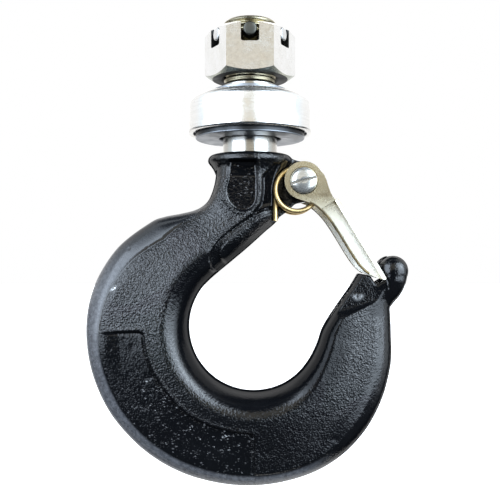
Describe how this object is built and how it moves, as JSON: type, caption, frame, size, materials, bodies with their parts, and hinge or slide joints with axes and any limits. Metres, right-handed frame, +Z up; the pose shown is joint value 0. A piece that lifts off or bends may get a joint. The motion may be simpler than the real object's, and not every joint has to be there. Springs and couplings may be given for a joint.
{
  "type": "swivel hook",
  "caption": "Forged black lifting hook with a turned shank that swivels in a shrouded thrust bearing under a pinned castle nut, closed by a sprung safety latch.",
  "frame": {"origin": "centre of the shank's top end face, on the swivel axis", "axes": "+Z up along the swivel axis, away from the bowl; +X towards the hook's tip and latch; +Y is the back, along the latch's pivot axis"},
  "size_m": [0.1469, 0.057, 0.2122],
  "materials": {
    "black_paint": "gloss",
    "plated_nut": "satin zinc plate",
    "pin_steel": "dark oiled",
    "polished_cover": "polished",
    "race_steel": "ground",
    "cage_brass": "satin",
    "ball_steel": "polished",
    "latch_sheet": "nickel plate",
    "spring_wire": "bright drawn",
    "bright_screw": "polished"
  },
  "bodies": {
    "bearing_base": {"lower_race": "race_steel"},
    "cage": {"ball_cage": "cage_brass", "ball_01": "ball_steel", "ball_02": "ball_steel", "ball_03": "ball_steel", "ball_04": "ball_steel", "ball_05": "ball_steel", "ball_06": "ball_steel", "ball_07": "ball_steel", "ball_08": "ball_steel", "ball_09": "ball_steel", "ball_10": "ball_steel", "ball_11": "ball_steel", "ball_12": "ball_steel"},
    "bearing_top": {"upper_race": "race_steel", "bearing_cover": "polished_cover"},
    "hook": {"hook_shank": "black_paint", "castle_nut": "plated_nut", "lock_pin_1": "pin_steel", "lock_pin_2": "pin_steel", "lock_pin_3": "pin_steel", "lock_pin_4": "pin_steel", "lock_pin_5": "pin_steel", "lock_pin_6": "pin_steel", "pivot_screw": "bright_screw", "pivot_nut": "bright_screw", "latch_spring": "spring_wire"},
    "latch": {"latch": "latch_sheet"}
  },
  "joints": [
    {"name": "swivel", "type": "hinge", "parent": "bearing_base", "child": "bearing_top", "pos_m": [0, 0, -0.0462], "axis": [0, 0, 1], "continuous": true},
    {"name": "cage_turn", "type": "hinge", "parent": "bearing_base", "child": "cage", "pos_m": [0, 0, -0.0462], "axis": [0, 0, 1], "continuous": true},
    {"name": "shank_play", "type": "slide", "parent": "bearing_top", "child": "hook", "axis": [0, 0, 1], "range_m": [-0.005, 0.0071]},
    {"name": "latch_hinge", "type": "hinge", "parent": "hook", "child": "latch", "pos_m": [0.024, 0, -0.0734], "axis": [0, 1, 0], "range_deg": [0, 68], "stiffness_Nm_per_rad": 0.08, "springref_deg": -34.38, "deforming": ["latch_spring"]}
  ],
  "couplings": [
    {"joint": "cage_turn", "follows": "swivel", "ratio": 0.5}
  ]
}
